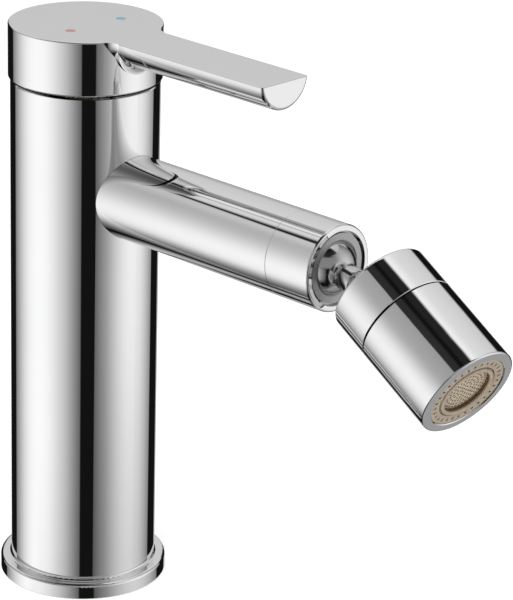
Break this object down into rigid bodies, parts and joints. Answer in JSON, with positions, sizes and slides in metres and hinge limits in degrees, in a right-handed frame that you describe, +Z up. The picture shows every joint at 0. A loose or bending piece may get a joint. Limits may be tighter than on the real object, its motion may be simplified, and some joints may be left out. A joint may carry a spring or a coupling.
{
  "type": "bidet mixer",
  "caption": "Single-lever bidet mixer: round column on a base ring, flat lever in one with its cap, level spout and a swivelling aerator head on a double ball joint.",
  "frame": {"origin": "centre of the base ring's underside, on the column's axis", "axes": "+Z up along the column; +X along the spout and the closed lever"},
  "size_m": [0.1752, 0.0482, 0.1654],
  "materials": {
    "chrome": "polished",
    "satin_ring": "satin",
    "brass": "machined",
    "steel": "turned",
    "rubber": "matt",
    "white_plastic": "moulded",
    "ceramic": null,
    "aerator_plastic": "moulded",
    "hot_colour": "glossy",
    "cold_colour": "glossy"
  },
  "bodies": {
    "column": {"body": "chrome", "valve_core": "brass", "base_ring": "chrome", "base_gasket": "rubber", "spout_tube": "chrome", "spout_end": "chrome", "spout_seal": "rubber", "socket_ring": "satin_ring", "cartridge_nut": "brass", "cartridge_housing": "white_plastic", "cartridge_base": "white_plastic", "port_seals": "rubber", "fixed_disc": "ceramic"},
    "cartridge_rotor": {"rotor": "white_plastic", "spindle_pin": "steel"},
    "lever": {"handle": "chrome", "spindle": "brass", "grub_screw": "steel", "grub_plug": "chrome", "hot_mark": "hot_colour", "cold_mark": "cold_colour"},
    "disc_slide": {"disc_carrier": "white_plastic", "moving_disc": "ceramic"},
    "ball_cup": {"ball_seat": "white_plastic", "ball_seal": "rubber"},
    "stem": {"ball_stem": "chrome"},
    "liner": {"head_liner": "white_plastic"},
    "head": {"joint_housing": "chrome", "joint_seat": "white_plastic", "joint_seal": "rubber", "aerator_housing": "chrome", "aerator_washer": "rubber", "flow_plate": "white_plastic", "aerator_body": "aerator_plastic", "aerator_screen": "aerator_plastic"}
  },
  "joints": [
    {"name": "temperature_turn", "type": "hinge", "parent": "column", "child": "cartridge_rotor", "pos_m": [0, 0, 0.1391], "axis": [0, 0, 1], "range_deg": [-45, 45]},
    {"name": "flow_lift", "type": "hinge", "parent": "cartridge_rotor", "child": "lever", "pos_m": [0, 0, 0.1391], "axis": [0, -1, 0], "range_deg": [0, 22]},
    {"name": "disc_travel", "type": "slide", "parent": "cartridge_rotor", "child": "disc_slide", "axis": [1, 0, 0], "range_m": [0, 0.00346]},
    {"name": "ball_swivel", "type": "hinge", "parent": "column", "child": "ball_cup", "pos_m": [0.0925, 0, 0.1193], "axis": [1, 0, 0], "continuous": true},
    {"name": "ball_tilt", "type": "hinge", "parent": "ball_cup", "child": "stem", "pos_m": [0.0925, 0, 0.1193], "axis": [0, 1, 0], "range_deg": [-30, 9]},
    {"name": "head_swivel", "type": "hinge", "parent": "stem", "child": "liner", "pos_m": [0.11656, 0, 0.11467], "axis": [0.982, 0, -0.1891], "continuous": true},
    {"name": "head_tilt", "type": "hinge", "parent": "liner", "child": "head", "pos_m": [0.11656, 0, 0.11467], "axis": [-0.0554, 0.9561, -0.2878], "range_deg": [-40, 4]}
  ],
  "couplings": [
    {"joint": "disc_travel", "follows": "flow_lift", "m_per_rad": 0.0089756}
  ]
}
